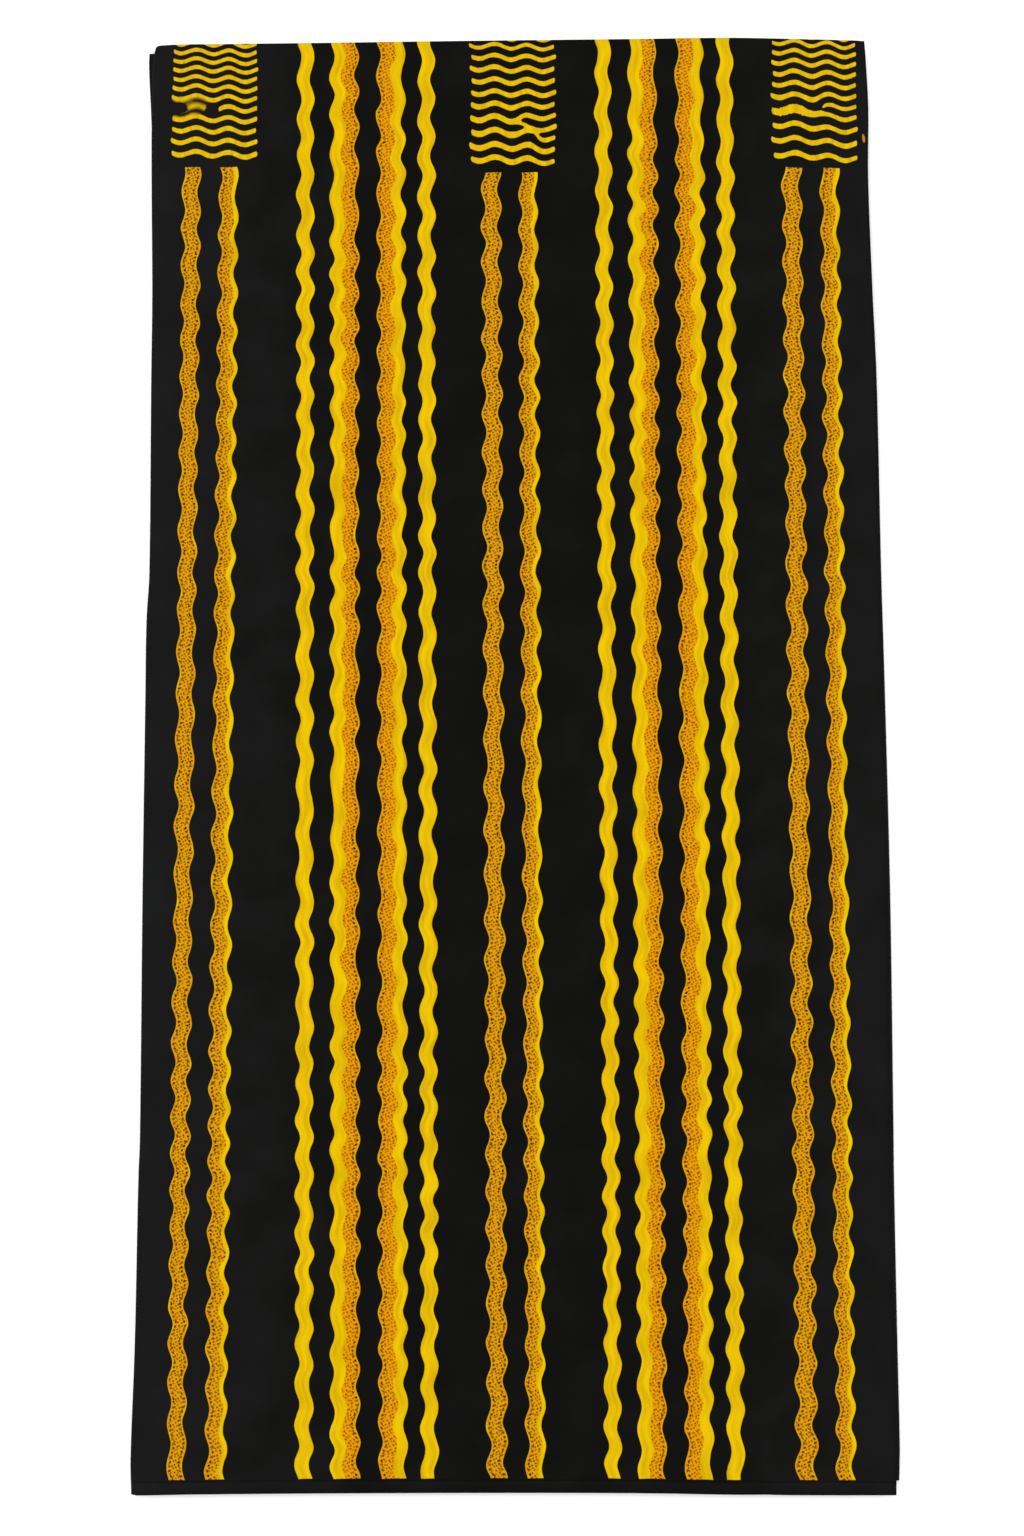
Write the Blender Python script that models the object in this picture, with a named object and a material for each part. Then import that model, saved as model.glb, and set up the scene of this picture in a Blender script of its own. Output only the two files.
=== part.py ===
"""One yard of printed cotton dress cloth, folded and lying flat.

The yard is doubled selvedge to selvedge, with that fold at +Y. The doubled cloth is then laid back and
forth in three panels, one on the other: the top panel starts at its cut edge on the +X side, turns
under at -X, turns back at +X below it, and ends at the other cut edge at the bottom left. All six plies
are one piece of cloth, so they are one solid. Metres, +Z up, with the origin on the underside.
"""

import math

import bmesh
import bpy

# Sizes of the folded cloth. The thickness is the cloth's with the air that it traps, as it lies.
PANEL_WIDTH = 0.304
FOLDED_HEIGHT = 0.600
PLY_THICKNESS = 0.0010
GAP_BETWEEN_PLIES = 0.0004
GAP_BETWEEN_PANELS = 0.0004

# Worked out from them
DOUBLED = 2 * PLY_THICKNESS + GAP_BETWEEN_PLIES
PANEL_PITCH = DOUBLED + GAP_BETWEEN_PANELS
BOTTOM_LEVEL = DOUBLED / 2
MIDDLE_LEVEL = BOTTOM_LEVEL + PANEL_PITCH
TOP_LEVEL = MIDDLE_LEVEL + PANEL_PITCH
TURN_RADIUS = PANEL_PITCH / 2
TURN_REACH = TURN_RADIUS + DOUBLED / 2

# How finely the faces are divided
STEPS_ACROSS_PANEL = 7
STEPS_ROUND_TURN = 6
STEPS_ALONG_PLY = 13
STEPS_ROUND_TOP_FOLD = 6

# How far each side edge stands out past the plain rectangle, in millimetres. The fold on the left joins
# the top and middle panels, and the fold on the right joins the middle and bottom ones.
#    height  left_fold  left_cut_below  right_fold  right_cut_on_top
SIDE_EDGES = (
    (-300.0, 3.2, 2.1, 1.6, -0.2),
    (-287.0, 3.6, 2.5, 2.2, 0.0),
    (-240.0, 2.3, 1.7, 1.9, -0.2),
    (-176.0, 1.5, 0.8, 1.6, -0.4),
    (-158.0, 1.0, 0.4, 1.7, -0.3),
    (-62.0, 0.9, 0.2, 1.9, -0.2),
    (20.0, 0.5, -0.1, 1.1, -0.6),
    (54.0, 0.3, -0.3, 0.6, -1.0),
    (74.0, -0.7, -1.3, 0.3, -1.1),
    (155.0, -0.7, -1.2, -0.3, -1.2),
    (190.0, -0.8, -1.1, -1.4, -2.2),
    (240.0, -0.1, -0.4, -3.2, -3.3),
    (270.0, 0.1, 0.8, -3.0, -2.8),
    (292.0, -0.3, 1.9, -3.8, -3.6),
    (300.0, -1.8, 1.6, -4.2, -4.1),
)

# How far the edges along X stand out past the plain rectangle, in millimetres, along the yard from its
# cut edge on top to its cut edge below. Selvedge one is on the upper ply of the top panel.
#    share_of_yard  top_fold  selvedge_one  selvedge_two
LONG_EDGES = (
    (0.000, -0.7, 1.4, 1.8),
    (0.050, 0.8, 1.2, 1.6),
    (0.070, 1.1, 1.2, 0.8),
    (0.110, 0.7, 0.5, -0.2),
    (0.170, 0.2, 0.2, -0.3),
    (0.250, -0.6, 0.2, 0.0),
    (0.320, -1.2, 0.5, 0.8),
    (0.335, -1.8, 0.5, 0.9),
    (0.400, -2.0, -0.3, -0.5),
    (0.500, -0.9, -0.7, -1.0),
    (0.630, -0.8, -1.6, -2.0),
    (0.667, -1.8, -3.4, -3.7),
    (0.700, -1.2, -2.0, -2.2),
    (0.850, -1.2, -1.2, -1.4),
    (0.970, -1.4, -0.7, -1.0),
    (1.000, -3.0, -0.6, -0.9),
)

# The pile stands a little higher beside the turns than across its middle, and rolls slightly.
TURN_PUFF = 0.07
TURN_PUFF_WIDTH = 0.022
# Slow rolls of the surface: crest spacing in metres, direction in degrees, share of the height
SLOW_ROLLS = (
    (0.260, 62.0, 0.018),
    (0.190, 8.0, 0.012),
    (0.340, 118.0, 0.015),
)


def from_table(rows, at, column):
    """A table's column at this value of its first one, on a smooth curve through the rows."""
    last = len(rows) - 1
    upper = next((i for i, row in enumerate(rows) if row[0] >= at), last)
    upper = min(max(upper, 1), last)
    before, low, high, after = (rows[min(max(i, 0), last)] for i in range(upper - 2, upper + 2))
    span = high[0] - low[0]
    share = min(max((at - low[0]) / span, 0.0), 1.0)
    slope_low = (high[column] - before[column]) / (high[0] - before[0]) * span
    slope_high = (after[column] - low[column]) / (after[0] - low[0]) * span
    return (
        low[column] * (1 + 2 * share) * (1 - share) ** 2
        + slope_low * share * (1 - share) ** 2
        + high[column] * share**2 * (3 - 2 * share)
        - slope_high * share**2 * (1 - share)
    )


def side_edge(height, column):
    """How far the edge in this column of SIDE_EDGES lies from the middle, at this height."""
    return PANEL_WIDTH / 2 + from_table(SIDE_EDGES, height * 1000, column) / 1000


def left_fold(height):
    return -side_edge(height, 1)


def left_cut_below(height):
    return -side_edge(height, 2)


def right_fold(height):
    return side_edge(height, 3)


def right_cut_on_top(height):
    return side_edge(height, 4)


def rise(x, y):
    """How much higher the pile stands here than its plain height, as a factor."""
    from_turn = min(abs(x - left_fold(y)), abs(x - right_fold(y)))
    height = 1 + TURN_PUFF * math.exp(-((from_turn / TURN_PUFF_WIDTH) ** 2))
    for spacing, direction, share in SLOW_ROLLS:
        angle = math.radians(direction)
        along = x * math.cos(angle) + y * math.sin(angle)
        height += share * (1 + math.cos(2 * math.pi * along / spacing))
    return height


def panel_stations(start_edge, end_edge, level, facing, first_share, last_share):
    """One panel of the doubled cloth: facing is 1 where its first ply is the upper one, and -1 where lower."""
    for step in range(STEPS_ACROSS_PANEL + 1):
        share = step / STEPS_ACROSS_PANEL

        def place(offset, y, share=share):
            x = start_edge(y) + (end_edge(y) - start_edge(y)) * share
            return x, level + facing * offset

        yield first_share + (last_share - first_share) * share, place


def turn_stations(edge, side, level, facing, yard_share):
    """The half turn to the panel below, without its two ends. Side is -1 on the left and 1 on the right."""
    for step in range(1, STEPS_ROUND_TURN):
        angle = math.pi * step / STEPS_ROUND_TURN

        def place(offset, y, angle=angle):
            radius = TURN_RADIUS + facing * offset
            x = edge(y) - side * TURN_REACH + side * radius * math.sin(angle)
            return x, level + radius * math.cos(angle)

        yield yard_share, place


def stations():
    """The sections along the yard: each one's share of it, and where it puts an offset from its middle."""

    def left_turn_start(y):
        return left_fold(y) + TURN_REACH

    def right_turn_start(y):
        return right_fold(y) - TURN_REACH

    yield from panel_stations(right_cut_on_top, left_turn_start, TOP_LEVEL, 1, 0.0, 0.332)
    yield from turn_stations(left_fold, -1, (TOP_LEVEL + MIDDLE_LEVEL) / 2, 1, 0.333)
    yield from panel_stations(left_turn_start, right_turn_start, MIDDLE_LEVEL, -1, 0.335, 0.665)
    yield from turn_stations(right_fold, 1, (MIDDLE_LEVEL + BOTTOM_LEVEL) / 2, -1, 0.667)
    yield from panel_stations(right_turn_start, left_cut_below, BOTTOM_LEVEL, 1, 0.668, 1.0)


def section_points(yard_share, ply_face):
    """One face of the doubled cloth, from selvedge two round the top fold to selvedge one, as offset and Y."""
    top_fold, selvedge_one, selvedge_two = (
        from_table(LONG_EDGES, yard_share, column) / 1000 for column in (1, 2, 3)
    )
    fold_centre = FOLDED_HEIGHT / 2 + top_fold - DOUBLED / 2
    lowest_one = -FOLDED_HEIGHT / 2 - selvedge_one
    lowest_two = -FOLDED_HEIGHT / 2 - selvedge_two
    points = []
    for step in range(STEPS_ALONG_PLY):
        y = lowest_two + (fold_centre - lowest_two) * step / STEPS_ALONG_PLY
        points.append((-ply_face, y))
    for step in range(STEPS_ROUND_TOP_FOLD + 1):
        angle = math.pi * step / STEPS_ROUND_TOP_FOLD
        points.append((-ply_face * math.cos(angle), fold_centre + ply_face * math.sin(angle)))
    for step in range(1, STEPS_ALONG_PLY + 1):
        y = fold_centre + (lowest_one - fold_centre) * step / STEPS_ALONG_PLY
        points.append((ply_face, y))
    return points


def station_rings(bm):
    """The points of each section, its outer face first and then its inner one, as rows of vertices."""
    rings = []
    for yard_share, place in stations():
        faces = []
        for ply_face in (DOUBLED / 2, GAP_BETWEEN_PLIES / 2):
            row = []
            for offset, y in section_points(yard_share, ply_face):
                x, z = place(offset, y)
                row.append(bm.verts.new((x, y, z * rise(x, y))))
            faces.append(row)
        rings.append(faces)
    return rings


def fill_between(bm, first, second):
    """A strip of quads between two rows of vertices."""
    for i in range(len(first) - 1):
        bm.faces.new((first[i], first[i + 1], second[i + 1], second[i]))


def cloth_mesh():
    bm = bmesh.new()
    rings = station_rings(bm)
    for before, after in zip(rings, rings[1:]):
        for face_before, face_after in zip(before, after):
            fill_between(bm, face_before, face_after)
    for outer, inner in (rings[0], rings[-1]):
        fill_between(bm, outer, inner)
    for end in (0, -1):
        outer_edge = [outer[end] for outer, inner in rings]
        inner_edge = [inner[end] for outer, inner in rings]
        fill_between(bm, outer_edge, inner_edge)
    bmesh.ops.recalc_face_normals(bm, faces=bm.faces)
    mesh = bpy.data.meshes.new("cloth")
    bm.to_mesh(mesh)
    bm.free()
    mesh.shade_smooth()
    mesh.set_sharp_from_angle(angle=math.radians(50))
    return mesh


def printed_cotton():
    """Wax-printed cotton in the near-black of its ground."""
    material = bpy.data.materials.new("printed_cotton")
    material.use_nodes = True
    shader = material.node_tree.nodes["Principled BSDF"]
    shader.inputs["Base Color"].default_value = (0.009, 0.009, 0.007, 1.0)
    shader.inputs["Roughness"].default_value = 0.75
    shader.inputs["Metallic"].default_value = 0.0
    return material


def main():
    for obj in list(bpy.data.objects):
        bpy.data.objects.remove(obj)
    cloth = bpy.data.objects.new("cloth", cloth_mesh())
    cloth.data.materials.append(printed_cotton())
    bpy.context.scene.collection.objects.link(cloth)


main()
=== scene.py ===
import math

import bmesh
import bpy
from mathutils import Euler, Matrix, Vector


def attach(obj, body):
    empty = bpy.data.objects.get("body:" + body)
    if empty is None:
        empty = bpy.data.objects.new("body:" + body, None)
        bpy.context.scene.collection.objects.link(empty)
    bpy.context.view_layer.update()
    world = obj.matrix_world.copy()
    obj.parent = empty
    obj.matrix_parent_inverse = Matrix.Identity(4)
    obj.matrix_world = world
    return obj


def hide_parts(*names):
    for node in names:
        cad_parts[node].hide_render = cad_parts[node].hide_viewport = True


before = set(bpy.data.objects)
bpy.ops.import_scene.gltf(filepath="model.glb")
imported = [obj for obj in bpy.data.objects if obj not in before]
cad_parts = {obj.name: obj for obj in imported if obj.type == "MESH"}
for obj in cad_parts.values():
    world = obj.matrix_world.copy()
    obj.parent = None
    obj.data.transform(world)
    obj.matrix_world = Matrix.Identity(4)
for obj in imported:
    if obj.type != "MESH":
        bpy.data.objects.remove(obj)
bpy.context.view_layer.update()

bl_info = {
    "name": "Folded Wax Print Cloth",
    "version": (1, 0, 0),
    "blender": (4, 5, 0),
    "location": "3D View > Sidebar > Cloth",
    "description": "Folds a yard of wax-printed cotton back and forth, and lights it on a pale floor",
    "category": "Object",
}

FLAT_MAP = "flat_cloth"
MM = 1000.0

# How far each side edge stands out past the plain rectangle, in millimetres. The fold on the left joins
# the top and middle panels, and the fold on the right joins the middle and bottom ones.
#    height  left_fold  left_cut_below  right_fold  right_cut_on_top
SIDE_EDGES = (
    (-300.0, 3.2, 2.1, 1.6, -0.2),
    (-287.0, 3.6, 2.5, 2.2, 0.0),
    (-240.0, 2.3, 1.7, 1.9, -0.2),
    (-176.0, 1.5, 0.8, 1.6, -0.4),
    (-158.0, 1.0, 0.4, 1.7, -0.3),
    (-62.0, 0.9, 0.2, 1.9, -0.2),
    (20.0, 0.5, -0.1, 1.1, -0.6),
    (54.0, 0.3, -0.3, 0.6, -1.0),
    (74.0, -0.7, -1.3, 0.3, -1.1),
    (155.0, -0.7, -1.2, -0.3, -1.2),
    (190.0, -0.8, -1.1, -1.4, -2.2),
    (240.0, -0.1, -0.4, -3.2, -3.3),
    (270.0, 0.1, 0.8, -3.0, -2.8),
    (292.0, -0.3, 1.9, -3.8, -3.6),
    (300.0, -1.8, 1.6, -4.2, -4.1),
)
LEFT_FOLD, LEFT_CUT_BELOW, RIGHT_FOLD, RIGHT_CUT_ON_TOP = range(1, 5)

# How far the edges along X stand out past the plain rectangle, in millimetres, along the yard from its
# cut edge on top to its cut edge below. Selvedge one is on the upper ply of the top panel.
#    share_of_yard  top_fold  selvedge_one  selvedge_two
LONG_EDGES = (
    (0.000, -0.7, 1.4, 1.8),
    (0.050, 0.8, 1.2, 1.6),
    (0.070, 1.1, 1.2, 0.8),
    (0.110, 0.7, 0.5, -0.2),
    (0.170, 0.2, 0.2, -0.3),
    (0.250, -0.6, 0.2, 0.0),
    (0.320, -1.2, 0.5, 0.8),
    (0.335, -1.8, 0.5, 0.9),
    (0.400, -2.0, -0.3, -0.5),
    (0.500, -0.9, -0.7, -1.0),
    (0.630, -0.8, -1.6, -2.0),
    (0.667, -1.8, -3.4, -3.7),
    (0.700, -1.2, -2.0, -2.2),
    (0.850, -1.2, -1.2, -1.4),
    (0.970, -1.4, -0.7, -1.0),
    (1.000, -3.0, -0.6, -0.9),
)
TOP_FOLD, SELVEDGE_ONE, SELVEDGE_TWO = range(1, 4)
# The two turns between panels, as shares of the yard
FIRST_TURN, SECOND_TURN = 0.33, 0.66

# The cloth is a little out of true, so its print drifts sideways, in millimetres: at mid-height, and how
# much more at the foot, which is as much less at the head.
#    x  at_middle  more_at_foot
PRINT_DRIFT = (
    (-152.0, 0.0, 0.0),
    (-128.0, -1.45, -1.2),
    (-86.0, 0.3, 0.75),
    (-36.0, 0.45, 0.6),
    (-1.0, 0.55, 0.6),
    (38.0, -0.4, 0.3),
    (64.0, -0.5, -0.3),
    (90.0, -0.5, -0.7),
    (124.0, 0.85, -0.2),
    (142.0, 0.35, -0.5),
    (152.0, 0.0, 0.0),
)
AT_MIDDLE, MORE_AT_FOOT = range(1, 3)
# From mid-height to the foot or the head, in metres
HALF_DRIFT_HEIGHT = 0.275
# The folded edges pull on the cloth this far in. The cut edge on top, which nothing holds, pulls less.
FOLD_PULL_WIDTH = 0.008
CUT_PULL_WIDTH = 0.005

# The pile stands a little higher beside the turns than across its middle, and rolls slightly.
TURN_PUFF = 0.07
TURN_PUFF_WIDTH = 0.022
# Slow rolls of the surface: crest spacing in metres, direction in degrees, share of the height
SLOW_ROLLS = (
    (0.260, 62.0, 0.018),
    (0.190, 8.0, 0.012),
    (0.340, 118.0, 0.015),
)

# The main creases in millimetres: a ridge has a height over 0 and a trough one under 0. The long ones
# are the marks of an older fold into quarters.
#    x  y  direction_degrees  length  width  height
CREASES = (
    (-146.5, -163.0, 66.0, 18.0, 3.4, -0.75),
    (-152.0, -169.0, 20.0, 9.0, 3.0, 0.35),
    (-144.5, 50.0, 100.0, 14.0, 4.5, -0.50),
    (148.0, 147.0, 15.0, 12.0, 2.6, 0.40),
    (146.5, -163.5, 10.0, 16.0, 2.8, 0.38),
    (147.0, -118.0, 172.0, 9.0, 3.0, -0.25),
    (-149.0, 205.0, 80.0, 30.0, 4.0, -0.28),
    (104.0, 3.0, 1.0, 62.0, 2.4, 0.10),
    (-20.0, -166.0, 179.0, 190.0, 4.5, -0.12),
    (20.0, 149.0, 1.0, 210.0, 4.5, -0.08),
    (139.0, -281.0, 140.0, 22.0, 5.0, -0.30),
)
# A crease is level with the cloth again at this many times its width.
CREASE_FADE = 3

# How finely the cloth is divided: along the yard, whose first panel shows, and from selvedge to selvedge,
# whose second ply shows
STEPS_ACROSS_TOP_PANEL = 100
STEPS_ACROSS_HIDDEN_PANEL = 26
STEPS_ROUND_TURN = 10
STEPS_UP_HIDDEN_PLY = 48
STEPS_ROUND_TOP_FOLD = 8
STEPS_DOWN_TOP_PLY = 196
PATH_POINTS_IN_TURN = 12


def to_linear(colour):
    """A hex colour such as "E8BF01", as it shows on screen, in the linear values that Blender mixes."""
    shares = [int(colour[i : i + 2], 16) / 255 for i in (0, 2, 4)]
    return tuple(c / 12.92 if c <= 0.04045 else ((c + 0.055) / 1.055) ** 2.4 for c in shares)


def add(tree, kind, inputs=(), output=0, **settings):
    """Adds a node. Settings are its properties, and inputs fill or link its sockets, by order or key."""
    node = tree.nodes.new(kind)
    node.location.x = 40 * len(tree.nodes)
    for name, value in settings.items():
        setattr(node, name, value)
    pairs = inputs.items() if isinstance(inputs, dict) else enumerate(inputs)
    for key, value in pairs:
        if isinstance(value, bpy.types.NodeSocket):
            tree.links.new(value, node.inputs[key])
        elif value is not None:
            node.inputs[key].default_value = value
    return node if output is None else node.outputs[output]


MATH = "ShaderNodeMath"
MIX = "ShaderNodeMix"
# The sockets of a mix of two colours, and the settings that make it one
SHARE, FIRST, SECOND = 0, 6, 7
IN_COLOUR = {"output": 2, "data_type": "RGBA"}


class ClothSizes(bpy.types.PropertyGroup):
    """Sizes of the cloth and of its print."""

    panel_width: bpy.props.FloatProperty(
        name="Panel Width", description="Width of one folded panel", default=0.304, unit="LENGTH"
    )
    folded_height: bpy.props.FloatProperty(
        name="Folded Height", description="Half of the loom width", default=0.600, unit="LENGTH"
    )
    pile_height: bpy.props.FloatProperty(
        name="Pile Height", description="Height of the folded pile", default=0.008, unit="LENGTH"
    )
    ply_pitch: bpy.props.FloatProperty(
        name="Ply Pitch", description="From one ply of a panel to the next", default=0.0014, unit="LENGTH"
    )
    thickness: bpy.props.FloatProperty(
        name="Cloth Thickness", description="Thickness of one ply", default=0.0007, unit="LENGTH"
    )
    panels: bpy.props.IntProperty(name="Panels", description="Runs of the doubled cloth", default=3, min=1)
    repeat: bpy.props.FloatProperty(
        name="Print Repeat", description="Width of the print's repeat in millimetres", default=125.2
    )
    wavelength: bpy.props.FloatProperty(
        name="Wave Spacing", description="Mean spacing of the waves in millimetres", default=16.4
    )
    wave_reach: bpy.props.FloatProperty(
        name="Wave Reach", description="How far a wave swings to each side in millimetres", default=0.98
    )
    thread_spacing: bpy.props.FloatProperty(
        name="Thread Spacing",
        description="Spacing of the threads in millimetres, drawn twice as coarse as the real 0.35 to show",
        default=0.7,
    )


def colour_property(name, description, hex_colour):
    return bpy.props.FloatVectorProperty(
        name=name, description=description, default=to_linear(hex_colour), subtype="COLOR", min=0, max=1
    )


class PrintColours(bpy.types.PropertyGroup):
    """Inks of the print and the tones of the room."""

    ground: colour_property("Ground", "Dyed near-black ground", "0A0A08")
    # Both the paler dye of the ground and the painted sheen towards the folds
    ground_pale_dye_and_sheen: colour_property("Ground, Faded", "Ground where the dye took less", "181919")
    yellow: colour_property("Yellow", "Plain stripes and bars", "D0AC01")
    yellow_deep: colour_property("Yellow, Deep", "Yellow with more ink", "B89302")
    ochre: colour_property("Ochre", "Ground of the dotted bands", "C88601")
    gold: colour_property("Gold", "Ground of the dotted pairs", "C28604")
    dot_brown: colour_property("Dots, Brown", "Small dots inside the bands", "693500")
    dot_black: colour_property("Dots, Black", "Large dots along the edges", "0F0902")
    floor: colour_property("Floor", "Pale floor", "FBFBFB")


def sizes():
    return bpy.context.scene.cloth_sizes


def colours():
    return bpy.context.scene.print_colours


def rgba(colour):
    return (*colour, 1.0)


def back_and_forth_path():
    """A node group: a flat path that runs to and fro with round turns, downwards from the first run."""
    tree = bpy.data.node_groups.new("Back and Forth Path", "GeometryNodeTree")
    for name, kind in (
        ("Runs", "NodeSocketInt"),
        ("Run Length", "NodeSocketFloat"),
        ("Pitch", "NodeSocketFloat"),
        ("End Reach", "NodeSocketFloat"),
    ):
        tree.interface.new_socket(name, in_out="INPUT", socket_type=kind)
    tree.interface.new_socket("Path", in_out="OUTPUT", socket_type="NodeSocketGeometry")
    given = add(tree, "NodeGroupInput", output=None).outputs
    corners = add(tree, MATH, (given["Runs"], 2.0), operation="MULTIPLY")
    line = add(tree, "GeometryNodeMeshLine", (corners,))
    index = add(tree, "GeometryNodeInputIndex")
    half = add(tree, MATH, (index, 0.5), operation="MULTIPLY")
    run = add(tree, MATH, (half,), operation="FLOOR")
    half_next = add(tree, MATH, (half, 0.5), operation="ADD")
    turned = add(tree, MATH, (half_next,), operation="FLOOR")
    odd = add(tree, MATH, (turned, 2.0), operation="MODULO")
    side = add(tree, MATH, (odd, -2.0, 1.0), operation="MULTIPLY_ADD")
    last = add(tree, MATH, (corners, 1.0), operation="SUBTRACT")
    is_first = add(tree, MATH, (index, 0.0, 0.1), operation="COMPARE")
    is_last = add(tree, MATH, (index, last, 0.1), operation="COMPARE")
    is_end = add(tree, MATH, (is_first, is_last), operation="ADD")
    half_run = add(tree, MATH, (given["Run Length"], 0.5), operation="MULTIPLY")
    reach = add(tree, MATH, (is_end, given["End Reach"], half_run), operation="MULTIPLY_ADD")
    x = add(tree, MATH, (side, reach), operation="MULTIPLY")
    drop = add(tree, MATH, (run, given["Pitch"]), operation="MULTIPLY")
    y = add(tree, MATH, (drop, -1.0), operation="MULTIPLY")
    corner = add(tree, "ShaderNodeCombineXYZ", (x, y, 0.0))
    placed = add(tree, "GeometryNodeSetPosition", {"Geometry": line, "Position": corner})
    curve = add(tree, "GeometryNodeMeshToCurve", (placed,))
    radius = add(tree, MATH, (given["Pitch"], 0.5), operation="MULTIPLY")
    rounded = add(
        tree,
        "GeometryNodeFilletCurve",
        {"Curve": curve, "Count": PATH_POINTS_IN_TURN, "Radius": radius, "Limit Radius": True},
        mode="POLY",
    )
    add(tree, "NodeGroupOutput", (rounded,), output=None)
    return tree


def fold_tree():
    """A node tree that folds a flat cloth: X runs along the yard, and Y across it from its middle."""
    path = back_and_forth_path()
    tree = bpy.data.node_groups.new("Fold Cloth", "GeometryNodeTree")
    for name, kind in (
        ("Flat Cloth", "NodeSocketGeometry"),
        ("Panels", "NodeSocketInt"),
        ("Panel Run", "NodeSocketFloat"),
        ("Panel Pitch", "NodeSocketFloat"),
        ("Panel End Reach", "NodeSocketFloat"),
        ("Ply Run", "NodeSocketFloat"),
        ("Ply Pitch", "NodeSocketFloat"),
        ("Ply End Reach", "NodeSocketFloat"),
        ("Yard Length", "NodeSocketFloat"),
        ("Loom Width", "NodeSocketFloat"),
        ("Top Level", "NodeSocketFloat"),
        ("Material", "NodeSocketMaterial"),
    ):
        tree.interface.new_socket(name, in_out="INPUT", socket_type=kind)
    tree.interface.new_socket("Folded Cloth", in_out="OUTPUT", socket_type="NodeSocketGeometry")
    given = add(tree, "NodeGroupInput", output=None).outputs
    flat = add(
        tree, "ShaderNodeSeparateXYZ", (add(tree, "GeometryNodeInputPosition"),), output=None
    ).outputs
    along_share = add(tree, MATH, (flat["X"], given["Yard Length"]), operation="DIVIDE")
    across_share = add(tree, MATH, (flat["Y"], given["Loom Width"]), operation="DIVIDE")
    across_share = add(tree, MATH, (across_share, 0.5), operation="ADD")

    # The doubled cloth's middle line goes back and forth in panels, drawn in X and height.
    panel_path = add(
        tree,
        "GeometryNodeGroup",
        {
            "Runs": given["Panels"],
            "Run Length": given["Panel Run"],
            "Pitch": given["Panel Pitch"],
            "End Reach": given["Panel End Reach"],
        },
        node_tree=path,
    )
    panel = add(
        tree, "GeometryNodeSampleCurve", {"Curves": panel_path, "Factor": along_share}, output=None
    ).outputs
    middle = add(tree, "ShaderNodeSeparateXYZ", (panel["Position"],), output=None).outputs
    heading = add(tree, "ShaderNodeSeparateXYZ", (panel["Tangent"],), output=None).outputs

    # Across the yard the cloth is doubled at its middle, which is one turn of the same kind of path.
    ply_path = add(
        tree,
        "GeometryNodeGroup",
        {
            "Runs": 2,
            "Run Length": given["Ply Run"],
            "Pitch": given["Ply Pitch"],
            "End Reach": given["Ply End Reach"],
        },
        node_tree=path,
    )
    ply = add(
        tree, "GeometryNodeSampleCurve", {"Curves": ply_path, "Factor": across_share}, output=None
    ).outputs
    ply_place = add(tree, "ShaderNodeSeparateXYZ", (ply["Position"],), output=None).outputs
    half_pitch = add(tree, MATH, (given["Ply Pitch"], -0.5), operation="MULTIPLY")
    offset = add(tree, MATH, (half_pitch, ply_place["Y"]), operation="SUBTRACT")

    # A ply stands off the middle line at right angles to the way that line is heading.
    x = add(tree, MATH, (heading["Y"], offset, middle["X"]), operation="MULTIPLY_ADD")
    y = add(tree, MATH, (ply_place["X"], -1.0), operation="MULTIPLY")
    lift = add(tree, MATH, (heading["X"], offset), operation="MULTIPLY")
    level = add(tree, MATH, (given["Top Level"], middle["Y"]), operation="ADD")
    z = add(tree, MATH, (level, lift), operation="SUBTRACT")
    folded = add(tree, "ShaderNodeCombineXYZ", (x, y, z))
    placed = add(tree, "GeometryNodeSetPosition", {"Geometry": given["Flat Cloth"], "Position": folded})
    realized = add(tree, "GeometryNodeRealizeInstances", (placed,))
    finished = add(
        tree, "GeometryNodeSetMaterial", {"Geometry": realized, "Material": given["Material"]}
    )
    add(tree, "NodeGroupOutput", (finished,), output=None)
    return tree


def steps(stretches):
    """Places along a line, from (length, how many steps) for each stretch of it."""
    places = [0.0]
    for length, count in stretches:
        start = places[-1]
        places += [start + length * step / count for step in range(1, count + 1)]
    return places


def flat_cloth(along, across, loom_width):
    """The cloth before folding, as a grid with these lines along and across it, and its flat map."""
    bm = bmesh.new()
    rows = [[bm.verts.new((x, y - loom_width / 2, 0)) for y in across] for x in along]
    flat_map = bm.loops.layers.uv.new(FLAT_MAP)
    for row, next_row in zip(rows, rows[1:]):
        for i in range(len(across) - 1):
            face = bm.faces.new((row[i], next_row[i], next_row[i + 1], row[i + 1]))
            for loop in face.loops:
                place = loop.vert.co
                loop[flat_map].uv = (place.x / loom_width, place.y / loom_width + 0.5)
    mesh = bpy.data.meshes.new("flat_cloth")
    bm.to_mesh(mesh)
    bm.free()
    return bpy.data.objects.new("wax_print_cloth", mesh)


def evaluated_through(obj, tree, values):
    """The object's mesh as a node tree makes it from these inputs, given by name."""
    modifier = obj.modifiers.new(tree.name, "NODES")
    modifier.node_group = tree
    for item in tree.interface.items_tree:
        if item.in_out == "INPUT" and item.name in values:
            modifier[item.identifier] = values[item.name]
    graph = bpy.context.evaluated_depsgraph_get()
    mesh = bpy.data.meshes.new_from_object(obj.evaluated_get(graph), depsgraph=graph)
    obj.modifiers.remove(modifier)
    return mesh


def from_table(rows, at, column):
    """A table's column at this value of its first one, on a smooth curve through the rows."""
    last = len(rows) - 1
    upper = next((i for i, row in enumerate(rows) if row[0] >= at), last)
    upper = min(max(upper, 1), last)
    before, low, high, after = (rows[min(max(i, 0), last)] for i in range(upper - 2, upper + 2))
    span = high[0] - low[0]
    share = min(max((at - low[0]) / span, 0.0), 1.0)
    slope_low = (high[column] - before[column]) / (high[0] - before[0]) * span
    slope_high = (after[column] - low[column]) / (after[0] - low[0]) * span
    return (
        low[column] * (1 + 2 * share) * (1 - share) ** 2
        + slope_low * share * (1 - share) ** 2
        + high[column] * share**2 * (3 - 2 * share)
        - slope_high * share**2 * (1 - share)
    )


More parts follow.
